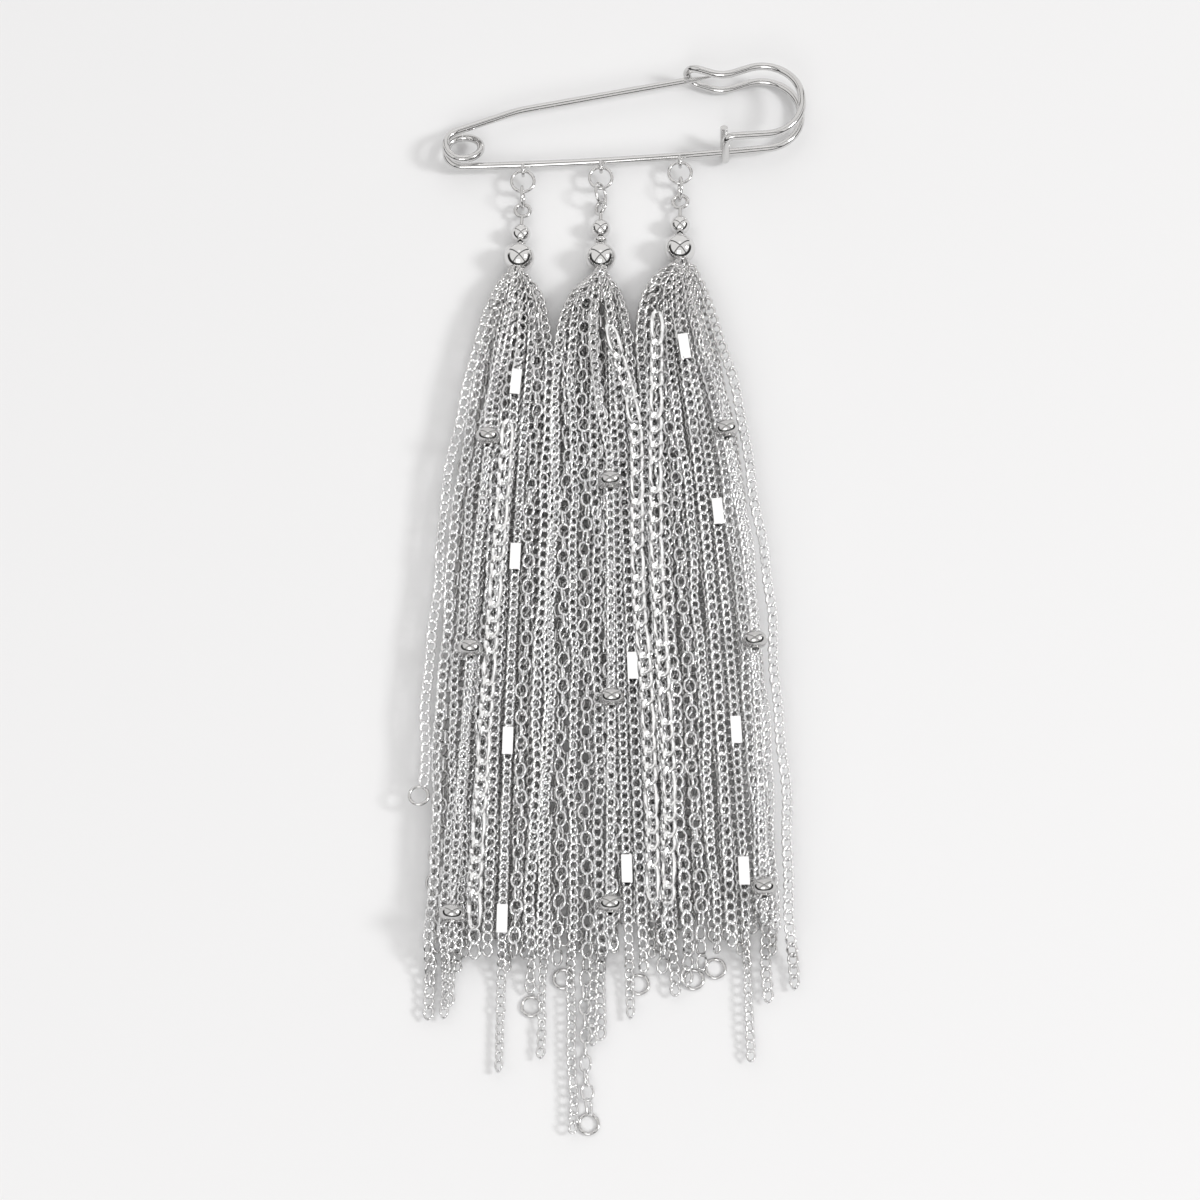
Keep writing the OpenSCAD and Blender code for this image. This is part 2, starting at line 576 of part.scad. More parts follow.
whole() pin_frame();
whole() needle();
for (t = [0:2]) {
  whole() big_ring(t);
  whole() small_ring(t);
  whole() eye_pin(t);
  whole() small_bead(t);
  whole() big_bead(t);
  whole() tassel(t);
  whole() figaro(t);
  for (n = [1:3]) whole() rondelle(t, n - 1);
}
whole() spacer_middle();
for (n = [1:len(bars)]) whole() bar(n - 1);
for (n = [1:len(ringed)]) whole() end_ring(n - 1);
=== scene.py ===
"""Looks of a kilt pin brooch with three chain tassels, built round its solid parts.

Lengths are in millimetres until a mesh is made, where MM turns them into metres. Places are given as in the
part's own source, from the middle eye of the rail, and shifted by CENTRE into the shared frame.
"""

import math

import bpy
import numpy as np
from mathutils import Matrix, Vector


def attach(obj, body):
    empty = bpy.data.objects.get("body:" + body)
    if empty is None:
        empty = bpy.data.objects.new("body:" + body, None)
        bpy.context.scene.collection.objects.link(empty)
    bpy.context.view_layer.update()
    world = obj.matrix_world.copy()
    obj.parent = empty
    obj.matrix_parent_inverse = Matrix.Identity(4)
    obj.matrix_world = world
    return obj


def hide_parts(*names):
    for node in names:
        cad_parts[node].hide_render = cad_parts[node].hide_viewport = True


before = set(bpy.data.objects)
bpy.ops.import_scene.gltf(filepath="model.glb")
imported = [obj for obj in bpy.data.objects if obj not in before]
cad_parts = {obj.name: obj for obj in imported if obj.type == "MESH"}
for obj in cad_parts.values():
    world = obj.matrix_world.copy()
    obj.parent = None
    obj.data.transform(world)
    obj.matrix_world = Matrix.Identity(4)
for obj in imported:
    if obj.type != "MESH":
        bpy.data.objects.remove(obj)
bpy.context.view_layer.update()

MM = 0.001
CENTRE = np.array([2.8314, -85.9047, 0.0])

# ---------------------------------------------------------------- sizes shared with the solid parts

SIDES = ["left", "middle", "right"]

# Head's place along X and Y
TASSELS = [(-15.9, -25.6), (0.1, -25.6), (15.3, -23.7)]

# Lines that the tassels' edges fan out to: place along X at the heads, drift for each mm down, length of the fan
FAN_L = 40.0
MEET_L = 5.0
EDGE_LINES = [(-33, 0, FAN_L), (-8.7, -0.018, MEET_L), (6.2, 0.0385, MEET_L), (34.8, 0, FAN_L + 5)]
EDGE_ROOM = 1.25

# Lengths of the nine upper strands of each tassel, from its left edge to its right edge
UPPER_LENGTHS = [
    [103, 145, 145, 133, 135, 135, 155, 134, 141],
    [152, 136, 166, 162, 134, 133, 145, 137, 128],
    [143, 140, 138, 136, 135, 155, 128, 132, 142],
]
# Kind of chain of each of these strands
UPPER_KINDS = [
    ["curb", "curb", "fine", "fine", "broad", "curb", "fine", "oval", "curb"],
    ["fine", "oval", "fine", "oval", "curb", "oval", "fine", "curb", "fine"],
    ["curb", "broad", "oval", "fine", "curb", "fine", "curb", "fine", "curb"],
]
# Lengths of the six locks that the chains under them stay within, and the locks' places across the fan
LOCK_LENGTHS = [
    [142, 146, 138, 130, 138, 136],
    [134, 134, 150, 144, 130, 135],
    [136, 130, 134, 138, 146, 138],
]
LOCK_EDGE = 0.86

# Bars: tassel, strand, distance of the middle down the strand, height above the other strands
BARS = [
    (0, 5, 24.5, 2.05), (0, 6, 59.3, 0), (0, 6, 95.4, 0), (0, 6, 128.7, 0),
    (1, 7, 80.9, 0), (1, 6, 119.5, 0),
    (2, 4, 19, 2.05), (2, 5, 52.1, 0), (2, 5, 95.2, 0), (2, 5, 121.8, 0),
]
BAR_L = 5.2
BAR_LEAD = 0.6              # full strand left between a bar and the rise to it
BAR_INSET = 0.3             # how far a chain runs into a bar's end

# Route of each tassel's beaded strand, and which of its points carry the beads
BEAD_ROUTES = [
    [(-16.4, -27.5), (-18.8, -42), (-20.9, -61.8), (-22.4, -82), (-23.6, -104.2), (-24.9, -130), (-26, -154.2),
     (-26, -158)],
    [(-0.6, -27.5), (-1.5, -40), (0, -55), (1.9, -70.8), (2, -92), (2.1, -113.7), (1.9, -135), (1.8, -152.5),
     (1.8, -156.3)],
    [(16, -25.6), (19.6, -42), (23.6, -60.3), (26.5, -80), (28.1, -102.6), (28.8, -125), (28.9, -149.4),
     (28.9, -153.2)],
]
BEAD_AT = [(2, 4, 6), (3, 5, 7), (2, 4, 6)]
BEAD_T = 3.4
BEAD_APPROACH = 4.5         # length over which the strand rises to a bead
BEAD_INSET = 0.4            # how far it runs into the bead's bore
TAIL_L = 1.5                # end of the strand past the last bead

# Route of each tassel's figaro chain: one long link, then three short ones
FIGARO_ROUTES = [
    [(-17.2, -58), (-17.9, -71), (-18.4, -80), (-19, -88), (-19.8, -102), (-20.7, -118), (-21.4, -133),
     (-22.1, -148), (-22.1, -160)],
    [(1.8, -38), (3.6, -45), (5.8, -53.5), (6.9, -60), (6.9, -87), (7.2, -96), (8, -104), (8.6, -114), (9, -128),
     (9.3, -140), (9.3, -154.5)],
    [(10.9, -35), (10.6, -53), (10.3, -69), (10.4, -84), (10.9, -97), (11.5, -110), (12.1, -120), (12.5, -130),
     (12.2, -145), (11.9, -158.5)],
]
FIGARO_LONG, FIGARO_SHORT, FIGARO_W, FIGARO_WIRE = 7.6, 4.4, 2.6, 0.62
FIGARO_GROUP = 4            # links from one long link to the next
FIGARO_SLACK = 0.14
FIGARO_Z = 6.85

# Form of the fan: how the strands leave the head, settle on their layer and sink at the foot
HEAD_BACK = 0.7
HEAD_OPEN = 0.12            # share of the fan's width that is there at once
HEAD_PINCH = 0.6            # how much the head is drawn in under the bead
PINCH_L = 1.2
SETTLE_L = 5.0
HEAD_Z = 3.6
STRAND_Z = 4.72
FOOT_Z = 1.45
SINK_FROM = 131.0
SINK_L = 8.0
BEAD_Z = 8.24
BEAD_STRAND_Z = 6.62
RISE_L = 4.0


def settle(s):
    """How far a strand has come down from the head's height onto its layer."""
    return 1 - np.exp(-np.maximum(s, 0) / SETTLE_L)


def ease(x):
    """Smooth step from 0 to 1."""
    x = np.clip(x, 0, 1)
    return x * x * (3 - 2 * x)


def edge(tassel, side, s):
    """Place along X of a tassel's left (-1) or right (1) edge at distance s from the head."""
    start, drift, length = EDGE_LINES[tassel + (side + 1) // 2]
    meets = 0 <= tassel + side < len(TASSELS)
    goal = start + drift * s - (side * EDGE_ROOM if meets else 0)
    opening = 1 - (1 - HEAD_OPEN) * np.exp(-s / length)
    opening = opening * (1 - HEAD_PINCH * np.exp(-(s + HEAD_BACK + 0.1) / PINCH_L))
    return TASSELS[tassel][0] + (goal - TASSELS[tassel][0]) * opening


def across(tassel, c, s):
    """Place along X of a strand at c, which runs from -1 to 1 over the fan."""
    left, right = edge(tassel, -1, s), edge(tassel, 1, s)
    return left + (right - left) * (c + 1) / 2


# ---------------------------------------------------------------- paths of the chains

PATH_STEP = 1.2             # distance from point to point of a path
PATH_START = -0.5
UPPER_DRIFT = 0.45          # sideways drift of the upper strands, of the lower ones and along the seams
LOWER_DRIFT = 0.35
SEAM_DRIFT = 0.3
DRIFT_START_L = 10
SWAP = 0.16                 # spread of the places that strands take at the head, and how soon it ends
SWAP_L = 26
FAN_ROOM = 1.08             # how far past the fan's edges a strand may stand
WAVES = [(0.65, 6.3), (0.35, 2.6)]      # share and length of the two waves that make up the drift
UPPER_SEED, LOWER_SEED, SEAM_SEED, ROLL_SEED = 100, 500, 900, 40


def wander(rng, s, amount):
    """Slow sideways drift of a chain that lies loose."""
    phase = rng.uniform(0, 2 * math.pi, 2)
    wave = sum(share * np.sin(s / length + start) for (share, length), start in zip(WAVES, phase))
    return amount * wave * (1 - np.exp(-np.maximum(s, 0) / DRIFT_START_L))


def laid_strand(rng, tassel, c, length, head_z, layer_z, foot_z, drift):
    """Centre line of a strand of the fan, as distances s and places."""
    s = np.arange(PATH_START, length, PATH_STEP)
    swap = rng.normal(0, SWAP) * np.exp(-s / SWAP_L)
    x = across(tassel, np.clip(c + swap, -FAN_ROOM, FAN_ROOM), s) + wander(rng, s, drift)
    z = head_z + (layer_z - head_z) * settle(s)
    z = z + (foot_z - z) * ease((s - SINK_FROM) / SINK_L)
    return s, np.stack([x, TASSELS[tassel][1] - s, z], 1)


def raised_over_bars(tassel, strand, s, points):
    """Lifts a strand to the bars that lie on its neighbours."""
    for at_tassel, at_strand, middle, rise in BARS:
        if (at_tassel, at_strand) == (tassel, strand):
            points[:, 2] += rise * ease(1 - (np.abs(s - middle) - BAR_L / 2 - BAR_LEAD) / RISE_L)
    return points


def kept_runs(points, keep):
    """Splits a line into the stretches of two or more points that are kept."""
    ends = np.flatnonzero(np.diff(np.concatenate([[0], keep, [0]])))
    return [points[first:last] for first, last in zip(ends[::2], ends[1::2]) if last - first > 1]


def upper_lines(tassel):
    """The strands on top, by kind of chain, each open where a bar is threaded on it."""
    lines = []
    half = BAR_L / 2 - BAR_INSET
    for strand, (length, kind) in enumerate(zip(UPPER_LENGTHS[tassel], UPPER_KINDS[tassel])):
        rng = np.random.default_rng(UPPER_SEED + 20 * tassel + strand)
        bars = [middle for t, j, middle, _ in BARS if (t, j) == (tassel, strand)]
        s, points = laid_strand(rng, tassel, -1 + strand / 4, length, HEAD_Z + 0.5, STRAND_Z, FOOT_Z,
                                0.0 if bars else UPPER_DRIFT)
        points = raised_over_bars(tassel, strand, s, points)
        keep = np.ones(len(s), bool)
        for middle in bars:
            keep &= (s < middle - half) | (s > middle + half)
        lines += [(kind, run) for run in kept_runs(points, keep)]
    return lines


# The two layers under the upper strands: number of chains, height, and height of their ends
LOWER_COUNTS = (9, 8)
LOWER_HEIGHTS = (1.38, 3.0)
LOWER_FOOT_Z = 1.38
LOWER_MIX = ["oval", "fine", "curb", "fine", "curb"]
SHORT_END = 134             # where every other one of these chains ends at the latest
RAGGED = 4                  # how much their ends differ
# Reach of these layers: they stop short of the outer edges and cross the lines where tassels meet
LOWER_REACH = [(-0.74, 1.06), (-1.06, 1.06), (-1.06, 0.7)]


def lower_lines(tassel):
    """Two layers of chains under the upper strands."""
    lines = []
    locks = LOCK_LENGTHS[tassel]
    for layer, (count, height) in enumerate(zip(LOWER_COUNTS, LOWER_HEIGHTS)):
        for n in range(count):
            rng = np.random.default_rng(LOWER_SEED + 100 * tassel + 20 * layer + n)
            start, end = LOWER_REACH[tassel]
            c = start + (end - start) * (n + 0.5 * layer) / (LOWER_COUNTS[0] - 1)
            last = len(locks) - 1
            lock = locks[min(last, max(0, round((c + LOCK_EDGE) / (2 * LOCK_EDGE) * last)))]
            length = (min(lock, SHORT_END) if (layer + n) % 2 else lock) - rng.uniform(0, RAGGED)
            _, points = laid_strand(rng, tassel, c, length, HEAD_Z - 1.0 + layer, height, LOWER_FOOT_Z, LOWER_DRIFT)
            lines.append((LOWER_MIX[rng.integers(len(LOWER_MIX))], points))
    return lines


# Chains along the lines where tassels meet: side, kind, height and length
SEAM_CHAINS = [(-1, "fine", 4.4, 134), (1, "oval", 4.1, 137)]


def seam_lines(tassel):
    """Chains along the lines where tassels meet, laid with the middle tassel."""
    lines = []
    for n, (side, kind, height, length) in enumerate(SEAM_CHAINS if SIDES[tassel] == "middle" else []):
        rng = np.random.default_rng(SEAM_SEED + n)
        _, points = laid_strand(rng, tassel, side * FAN_ROOM, length, HEAD_Z, height, FOOT_Z, SEAM_DRIFT)
        lines.append((kind, points))
    return lines


def beaded_line(tassel):
    """The strand that carries the beads: it rises to each bore."""
    route = BEAD_ROUTES[tassel]
    rows = []
    for i, (x, y) in enumerate(route):
        if i in BEAD_AT[tassel]:
            rows += [(x, y + BEAD_APPROACH + BEAD_T / 2, BEAD_STRAND_Z), (x, y + BEAD_T / 2, BEAD_Z),
                     (x, y, BEAD_Z), (x, y - BEAD_T / 2, BEAD_Z)]
        elif i == len(route) - 1:
            rows.append((x, y - TAIL_L, BEAD_Z - TAIL_L))
        else:
            rows.append((x, y, STRAND_Z if i < 2 else BEAD_STRAND_Z))
    rows = np.array(rows)
    step = np.concatenate([[0], np.cumsum(np.linalg.norm(np.diff(rows, axis=0), axis=1))])
    s = np.arange(0, step[-1], PATH_STEP / 2)
    points = np.stack([np.interp(s, step, rows[:, k]) for k in range(3)], 1)
    bead_y = [route[i][1] for i in BEAD_AT[tassel]]
    off_bead = np.min(np.abs(points[:, 1, None] - np.array(bead_y)), axis=1) >= BEAD_T / 2 - BEAD_INSET
    return [("fine", run) for run in kept_runs(points, off_bead)]


# ---------------------------------------------------------------- chain links

# Kind of chain: length and width of a link, wire, pitch, twist of a link and turn from link to link in degrees, and
# spread of the chain's roll in radians
KINDS = {
    "oval": (3.5, 2.6, 0.50, 2.55, 0.0, 90.0, 0.35),
    "fine": (2.6, 1.95, 0.48, 1.62, 40.0, 0.0, 0.6),
    "curb": (3.1, 2.25, 0.55, 1.95, 42.0, 0.0, 0.4),
    "broad": (3.8, 2.6, 0.62, 2.55, 42.0, 0.0, 0.3),
}
LINK_JITTER = 0.32          # spread of a single link's roll
ROLL_SWING, ROLL_L = 0.25, 11


def link_shape(length, width, wire, twist, steps, sides, fullness=1.0, late=1, flat=0.0):
    """One link along X, in millimetres, as points and faces.

    Its ends are turned against each other by twist degrees each way. fullness under 1 makes its sides straighter,
    late over 1 puts the twist near its ends, and flat makes its wire broader than thick.
    """
    half, side = (length - wire) / 2, (width - wire) / 2
    a = 2 * math.pi * (np.arange(steps) + 0.5) / steps
    bulge = np.sign(np.sin(a)) * np.abs(np.sin(a)) ** fullness
    middle = np.stack([half * np.cos(a), side * bulge, np.zeros(steps)], 1)
    along = np.roll(middle, -1, 0) - np.roll(middle, 1, 0)
    out = np.cross(along, (0, 0, 1))
    out /= np.linalg.norm(out, axis=1)[:, None]
    b = 2 * math.pi * np.arange(sides) / sides
    points = middle[:, None] + out[:, None] * (np.cos(b) * (1 + flat) * wire / 2)[None, :, None]
    points[:, :, 2] += np.sin(b) * (1 - flat) * wire / 2
    x, y, z = points.reshape(-1, 3).T
    turn = math.radians(twist) * np.sign(x) * np.abs(x / half) ** late
    points = np.stack([x, y * np.cos(turn) - z * np.sin(turn), y * np.sin(turn) + z * np.cos(turn)], 1)
    faces = [(i * sides + k, i * sides + (k + 1) % sides, (i + 1) % steps * sides + (k + 1) % sides,
              (i + 1) % steps * sides + k) for i in range(steps) for k in range(sides)]
    return points, faces


def link_mesh(name, length, width, wire, twist):
    """A link of a fine chain, with few faces because it is repeated thousands of times."""
    points, faces = link_shape(length, width, wire, twist, steps=10, sides=5)
    mesh = bpy.data.meshes.new(name)
    mesh.from_pydata((points * MM).tolist(), [], faces)
    mesh.shade_smooth()
    return mesh


def figaro_mesh(name, tassel, metal):
    """The links of a figaro chain, each cut flat and lying flat on the strands."""
    route = np.array(FIGARO_ROUTES[tassel], float)
    run = np.concatenate([[0], np.cumsum(np.linalg.norm(np.diff(route, axis=0), axis=1))])
    vertices, faces = [], []
    start, count = 0.0, 0
    while start < run[-1] - FIGARO_LONG:
        length = FIGARO_SHORT if count % FIGARO_GROUP else FIGARO_LONG
        core = length - FIGARO_WIRE
        ends = [np.array([np.interp(s, run, route[:, k]) for k in (0, 1)]) for s in (start, start + core)]
        ahead = (ends[1] - ends[0]) / np.linalg.norm(ends[1] - ends[0])
        points, link_faces = link_shape(length, FIGARO_W, FIGARO_WIRE, twist=34, steps=16, sides=6, fullness=0.55,
                                        late=3, flat=0.22)
        x = points[:, 0] * ahead[0] - points[:, 1] * ahead[1]
        y = points[:, 0] * ahead[1] + points[:, 1] * ahead[0]
        middle = np.append((ends[0] + ends[1]) / 2, FIGARO_Z)
        faces += [tuple(len(vertices) + corner for corner in face) for face in link_faces]
        vertices += ((np.stack([x, y, points[:, 2]], 1) + middle - CENTRE) * MM).tolist()
        start += core - FIGARO_WIRE - FIGARO_SLACK
        count += 1
    mesh = bpy.data.meshes.new(name)
    mesh.from_pydata(vertices, [], faces)
    mesh.materials.append(metal)
    return mesh


def line_mesh(name, lines, rng, sway):
    """Lines of edges that carry the roll of the links about the chain."""
    vertices, edges, roll = [], [], []
    for line in lines:
        first = len(vertices)
        vertices += [tuple(v) for v in (line - CENTRE) * MM]
        edges += [(first + i, first + i + 1) for i in range(len(line) - 1)]
        s = np.arange(len(line)) * PATH_STEP
        base, phase = rng.uniform(-sway, sway), rng.uniform(0, 2 * math.pi)
        roll += list(base + ROLL_SWING * np.sin(s / ROLL_L + phase))
    mesh = bpy.data.meshes.new(name)
    mesh.from_pydata(vertices, edges, [])
    mesh.attributes.new("roll", "FLOAT", "POINT").data.foreach_set("value", roll)
    return mesh


def chain_tree():
    """Geometry nodes that string a link along every line."""
    tree = bpy.data.node_groups.new("chain along lines", "GeometryNodeTree")
    face = tree.interface
    face.new_socket("Lines", in_out="INPUT", socket_type="NodeSocketGeometry")
    inputs = {}
    for name, kind in (("Link", "NodeSocketObject"), ("Pitch", "NodeSocketFloat"), ("Turn", "NodeSocketFloat"),
                       ("Metal", "NodeSocketMaterial")):
        inputs[name] = face.new_socket(name, in_out="INPUT", socket_type=kind).identifier
    face.new_socket("Chain", in_out="OUTPUT", socket_type="NodeSocketGeometry")

    def node(kind, links=(), **settings):
        made = tree.nodes.new(kind)
        for key, value in settings.items():
            setattr(made, key, value)
        for socket, source in links:
            if hasattr(source, "is_linked"):
                tree.links.new(source, made.inputs[socket])
            else:
                made.inputs[socket].default_value = source
        return made

    given = node("NodeGroupInput")
    curve = node("GeometryNodeMeshToCurve", [("Mesh", given.outputs["Lines"])])
    spaced = node("GeometryNodeResampleCurve", [("Curve", curve.outputs[0]), ("Length", given.outputs["Pitch"])],
                  mode="LENGTH")
    tangent = node("GeometryNodeInputTangent")
    aligned = node("FunctionNodeAlignRotationToVector", [("Vector", tangent.outputs[0])], axis="X")
    index = node("GeometryNodeInputIndex")
    odd = node("ShaderNodeMath", [(0, index.outputs[0]), (1, 2.0)], operation="MODULO")
    turn = node("ShaderNodeMath", [(0, odd.outputs[0]), (1, given.outputs["Turn"])], operation="MULTIPLY")
    jitter = node("FunctionNodeRandomValue", [("Min", -LINK_JITTER), ("Max", LINK_JITTER), ("Seed", 7)],
                  data_type="FLOAT")
    roll = node("GeometryNodeInputNamedAttribute", [("Name", "roll")], data_type="FLOAT")
    rolled = node("ShaderNodeMath", [(0, roll.outputs["Attribute"]), (1, turn.outputs[0])], operation="ADD")
    jittered = node("ShaderNodeMath", [(0, rolled.outputs[0]), (1, jitter.outputs["Value"])], operation="ADD")
    about = node("FunctionNodeAxisAngleToRotation", [("Axis", (1.0, 0.0, 0.0)), ("Angle", jittered.outputs[0])])
    turned = node("FunctionNodeRotateRotation", [(0, aligned.outputs[0]), (1, about.outputs[0])],
                  rotation_space="LOCAL")
    link = node("GeometryNodeObjectInfo", [("Object", given.outputs["Link"])], transform_space="ORIGINAL")
    strung = node("GeometryNodeInstanceOnPoints", [
        ("Points", spaced.outputs[0]), ("Instance", link.outputs["Geometry"]), ("Rotation", turned.outputs[0])])
    real = node("GeometryNodeRealizeInstances", [(0, strung.outputs[0])])
    metal = node("GeometryNodeSetMaterial", [("Geometry", real.outputs[0]), ("Material", given.outputs["Metal"])])
    node("NodeGroupOutput", [(0, metal.outputs[0])])
    return tree, inputs


def add_object(name, mesh):
    piece = bpy.data.objects.new(name, mesh)
    bpy.context.scene.collection.objects.link(piece)
    return piece


def remove_object(piece):
    mesh = piece.data
    bpy.data.objects.remove(piece)
    bpy.data.meshes.remove(mesh)


def chains(name, lines, kind, metal, tree, inputs, seed):
    """The chains of one kind in one tassel, as one plain mesh."""
    length, width, wire, pitch, twist, turn, sway = KINDS[kind]
    link = add_object("link", link_mesh("link", length, width, wire, twist))
    line = add_object("lines", line_mesh("lines", lines, np.random.default_rng(seed), sway))
    modifier = line.modifiers.new("chain", "NODES")
    modifier.node_group = tree
    modifier[inputs["Link"]] = link
    modifier[inputs["Pitch"]] = pitch * MM
    modifier[inputs["Turn"]] = math.radians(turn)
    modifier[inputs["Metal"]] = metal
    bpy.context.view_layer.update()
    shape = bpy.data.meshes.new_from_object(line.evaluated_get(bpy.context.evaluated_depsgraph_get()))
    shape.name = name
    piece = add_object(name, shape)
    remove_object(line)
    remove_object(link)
    return piece


# ---------------------------------------------------------------- materials

CLOUD_SCALE = 420.0         # of the patches where a metal is a little duller
# Painted shade on the chains: darker on the lower layers and where the chains crowd below the heads, where they
# shade each other; lighter again at the foot, where they lie free
CROWDED_L = 34              # length below the heads over which the chains crowd together
FOOT_L = 8                  # length over which they come to the foot's brightness
FOOT_SHARE = 0.6            # brightness at the foot, as a share of that of the upper strands
CROWD_SHADE_SHARE = 0.9         # how much of their brightness the crowded chains lose to painted shade
# Tints of the chains in full painted shade and in full light
PAINTED_SHADE_TINT, TOP_TINT = (0.67, 0.665, 0.66, 1.0), (0.93, 0.93, 0.935, 1.0)


class Shader:
    """The node tree of a material or the world, and the one place where its nodes are made."""

    def __init__(self, owner, main="Principled BSDF"):
        owner.use_nodes = True
        self.owner, self.tree = owner, owner.node_tree
        self.main = self.tree.nodes[main]

    def node(self, kind, output=0, inputs=None, **settings):
        made = self.tree.nodes.new(kind)
        for key, value in settings.items():
            setattr(made, key, value)
        for socket, value in (inputs or {}).items():
            self.feed(made.inputs[socket], value)
        return Value(self, made.outputs[output])

    def feed(self, socket, value):
        if isinstance(value, Value):
            self.tree.links.new(value.socket, socket)
        else:
            socket.default_value = value

    def set(self, **values):
        for name, value in values.items():
            self.feed(self.main.inputs[name.replace("_", " ")], value)


class Value:
    """An output of a node. Arithmetic on it makes Math nodes."""

    def __init__(self, shader, socket):
        self.shader, self.socket = shader, socket

    def maths(self, operation, *others):
        inputs = dict(enumerate((self, *others)))
        return self.shader.node("ShaderNodeMath", inputs=inputs, operation=operation)

    def __add__(self, other):
        return self.maths("ADD", other)

    def __sub__(self, other):
        return self.maths("SUBTRACT", other)

    def __mul__(self, other):
        return self.maths("MULTIPLY", other)

    def step(self, low, high):
        """Smooth step from 0 at low to 1 at high."""
        return self.shader.node("ShaderNodeMapRange", interpolation_type="SMOOTHSTEP", inputs={
            "Value": self, "From Min": low, "From Max": high})


def new_shader(name):
    return Shader(bpy.data.materials.new(name))


def cloudy(shader, place, roughness, cloud):
    """Roughness that varies by cloud from place to place."""
    patches = shader.node("ShaderNodeTexNoise", inputs={"Vector": place, "Scale": CLOUD_SCALE, "Detail": 2.0})
    return patches * cloud + (roughness - cloud / 2)


def silver(name, tint, roughness, cloud):
    """Bright plated metal."""
    shader = new_shader(name)
    place = shader.node("ShaderNodeTexCoord", output="Object")
    shader.set(Base_Color=(*tint, 1.0), Metallic=1.0, Roughness=cloudy(shader, place, roughness, cloud))
    return shader.owner


def silver_with_painted_shade(name, roughness, cloud, low, high, foot, head):
    """Silver with painted shade: darker on the chains underneath, from the height high down to low, but not past
    foot along Y.

    It has painted shade too where the chains crowd together, up to head along Y.
    """
    shader = new_shader(name)
    place = shader.node("ShaderNodeTexCoord", output="Object")
    height = shader.node("ShaderNodeSeparateXYZ", output="Z", inputs={0: place})
    along = shader.node("ShaderNodeSeparateXYZ", output="Y", inputs={0: place})
    # Painted shade: darker by height on the layers underneath, and where the chains crowd below the heads
    above = height.step(low * MM, high * MM)
    past = (along * -1.0).step(-foot * MM, (FOOT_L - foot) * MM)
    crowded = along.step((head - CROWDED_L) * MM, (head + 2) * MM)
    share = above.maths("MAXIMUM", past * FOOT_SHARE) * (crowded * -CROWD_SHADE_SHARE + 1.0)
    tint = shader.node("ShaderNodeMix", output=2, data_type="RGBA", inputs={0: share, 6: PAINTED_SHADE_TINT, 7: TOP_TINT})
    shader.set(Base_Color=tint, Metallic=1.0, Roughness=cloudy(shader, place, roughness, cloud))
    return shader.owner


def paper(name):
    shader = new_shader(name)
    shader.set(Base_Color=(0.86, 0.86, 0.865, 1.0), Roughness=0.9, Specular_IOR_Level=0.15)
    return shader.owner


wire_metal = silver("bright wire", (0.69, 0.685, 0.68), roughness=0.09, cloud=0.05)
bead_metal = silver("mirror bead", (0.76, 0.755, 0.75), roughness=0.06, cloud=0.03)
bar_metal = silver("square tube", (0.90, 0.90, 0.90), roughness=0.12, cloud=0.05)
figaro_metal = silver("cut flat chain", (0.93, 0.93, 0.93), roughness=0.14, cloud=0.05)
rondelle_metal = silver("turned bead", (0.60, 0.595, 0.59), roughness=0.09, cloud=0.04)
HEAD_Y = TASSELS[0][1] - CENTRE[1]
# The chains' silver carries painted shade by height and by crowding
painted_shade_chain_metal = silver_with_painted_shade("fine chain with painted shade", roughness=0.16, cloud=0.06, low=2.4, high=4.3, foot=HEAD_Y - SINK_FROM,
                               head=HEAD_Y)

NODE_METALS = [
    (("pin_frame", "needle", "big_ring", "small_ring", "eye_pin", "end_ring"), wire_metal),
    (("small_bead", "big_bead", "spacer"), bead_metal),
    (("rondelle",), rondelle_metal),
    (("bar",), bar_metal),
    (("tassel",), painted_shade_chain_metal),
    (("figaro",), figaro_metal),
]
for node_name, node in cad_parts.items():
    for starts, metal in NODE_METALS:
        if node_name.startswith(starts):
            for slot in node.material_slots:
                slot.material = metal

# ---------------------------------------------------------------- the chains of the three tassels

tree, tree_inputs = chain_tree()
for tassel, side in enumerate(SIDES):
    lines = upper_lines(tassel) + lower_lines(tassel) + seam_lines(tassel) + beaded_line(tassel)
    for order, kind in enumerate(KINDS):
        own = [line for line_kind, line in lines if line_kind == kind]
        if not own:
            continue
        piece = chains(f"{kind}_chains_{side}", own, kind, painted_shade_chain_metal, tree, tree_inputs,
                       ROLL_SEED + 10 * tassel + order)
        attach(piece, "brooch")
        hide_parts(f"tassel_{side}")
    name = f"figaro_links_{side}"
    piece = add_object(name, figaro_mesh(name, tassel, figaro_metal))
    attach(piece, "brooch")
    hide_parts(f"figaro_{side}")

# ---------------------------------------------------------------- surface, light and camera

FLOOR_HALF = 2.5
FLOOR_Z = -0.00003
floor_mesh = bpy.data.meshes.new("floor")
floor_mesh.from_pydata([(x * FLOOR_HALF, y * FLOOR_HALF, FLOOR_Z) for x, y in ((-1, -1), (1, -1), (1, 1), (-1, 1))],
                       [], [(0, 1, 2, 3)])
floor = add_object("floor", floor_mesh)
floor.data.materials.append(paper("white paper"))


def area_light(name, place, aim, size, power):
    light = bpy.data.lights.new(name, "AREA")
    light.shape, light.size, light.energy = "SQUARE", size, power
    lamp = bpy.data.objects.new(name, light)
    lamp.location = place
    lamp.rotation_euler = (Vector(aim) - Vector(place)).to_track_quat("-Z", "Y").to_euler()
    bpy.context.scene.collection.objects.link(lamp)


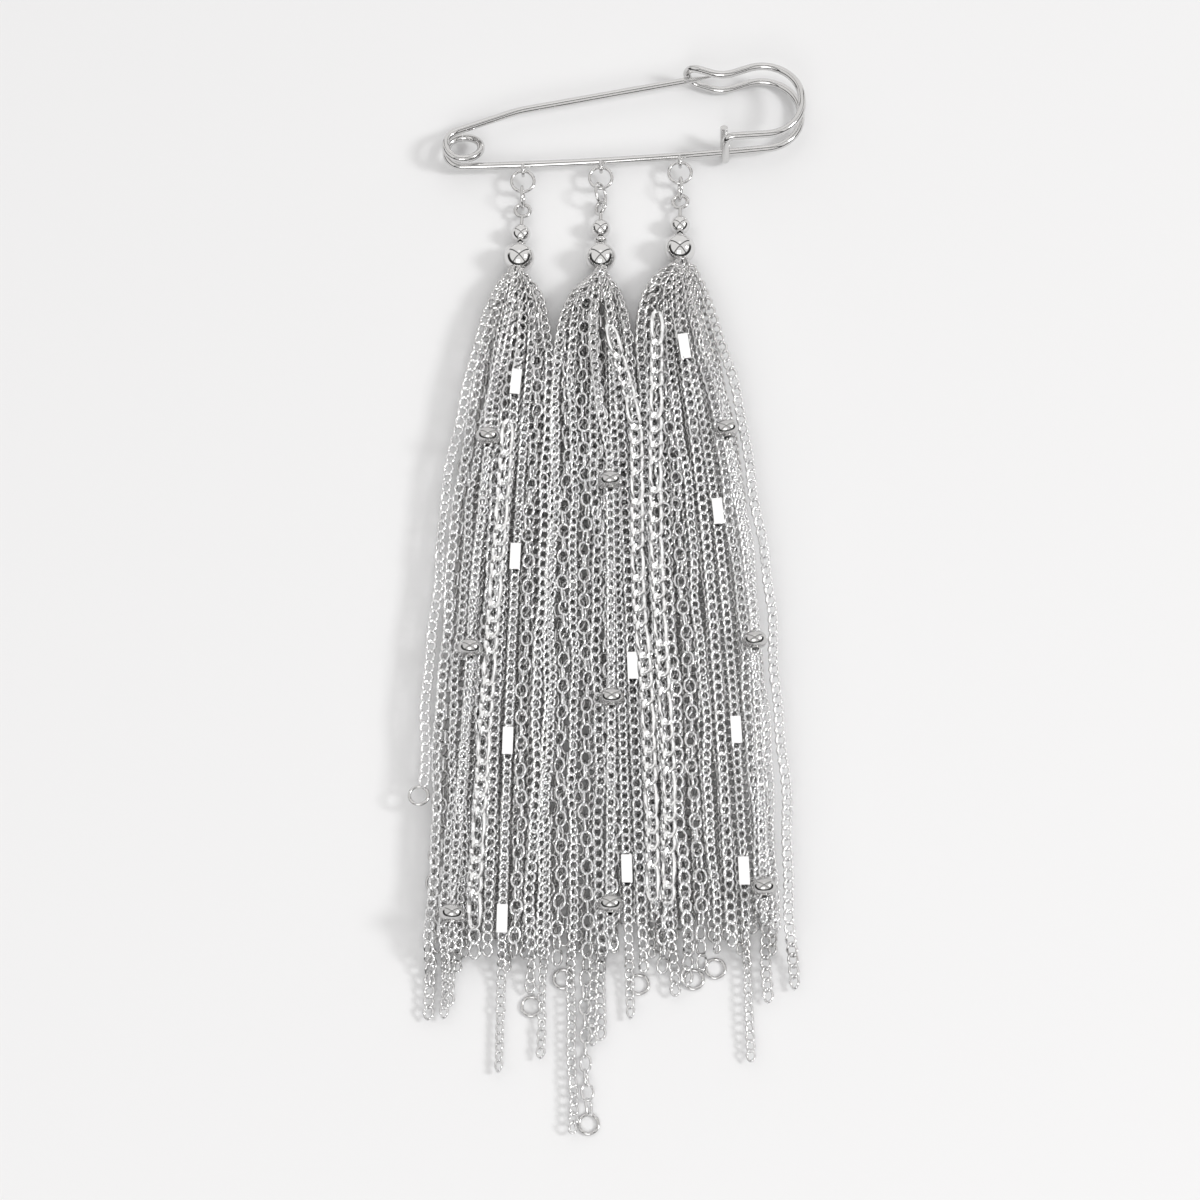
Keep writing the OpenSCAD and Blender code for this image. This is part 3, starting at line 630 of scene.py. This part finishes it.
area_light("key", place=(1.9, -0.2, 1.5), aim=(0, 0, 0), size=0.5, power=21.0)
area_light("front", place=(-0.15, -1.1, 0.95), aim=(0, 0, 0), size=0.6, power=3.5)


# The studio by direction: from a seam to a panel, from the dark room to the panels up Z and along Y, the pane's
# direction and its edge; then the strength of the panels, of the pane on them and of all the rest
SEAM = (0.04, 0.12)
ROOM_UP, ROOM_BACK = (0.30, 0.42), (0.2, 0.5)
PANE_Y, PANE_Z, PANE_EDGE = 0.375, 0.927, (0.975, 0.99)
PANEL_LIGHT, PANE_LIGHT, DARK_LIGHT = 0.86, 0.3, 0.04


def studio_world():
    """Grey panels overhead with crossing dark seams and one bright pane, and a dark room low down in front."""
    world = bpy.data.worlds.new("studio")
    bpy.context.scene.world = world
    shader = Shader(world, "Background")
    place = shader.node("ShaderNodeTexCoord", output="Generated")
    x, y, z = (shader.node("ShaderNodeSeparateXYZ", output=axis, inputs={0: place}) for axis in "XYZ")
    seams = (x + y).maths("ABSOLUTE").maths("MINIMUM", (x - y).maths("ABSOLUTE"))
    room = z.step(*ROOM_UP).maths("MAXIMUM", y.step(*ROOM_BACK))
    grey = seams.step(*SEAM) * room * PANEL_LIGHT
    pane = (y * PANE_Y + z * PANE_Z).step(*PANE_EDGE) * PANE_LIGHT
    shader.set(Color=(1.0, 0.99, 0.98, 1.0), Strength=grey + pane + DARK_LIGHT)


studio_world()
bpy.context.scene.view_settings.view_transform = "Standard"

camera = bpy.data.objects.new("camera", bpy.data.cameras.new("camera"))
camera.data.lens = 97.02
camera.data.sensor_width = 36.0
camera.data.clip_start = 0.01
ELEVATION = math.radians(68)
DISTANCE = 0.6
AIM = Vector((0.0, -91.4, 0.0)) * MM - Vector(CENTRE) * MM
camera.location = AIM + DISTANCE * Vector((0, -math.cos(ELEVATION), math.sin(ELEVATION)))
camera.rotation_euler = (AIM - camera.location).to_track_quat("-Z", "Y").to_euler()
bpy.context.scene.collection.objects.link(camera)
bpy.context.scene.camera = camera
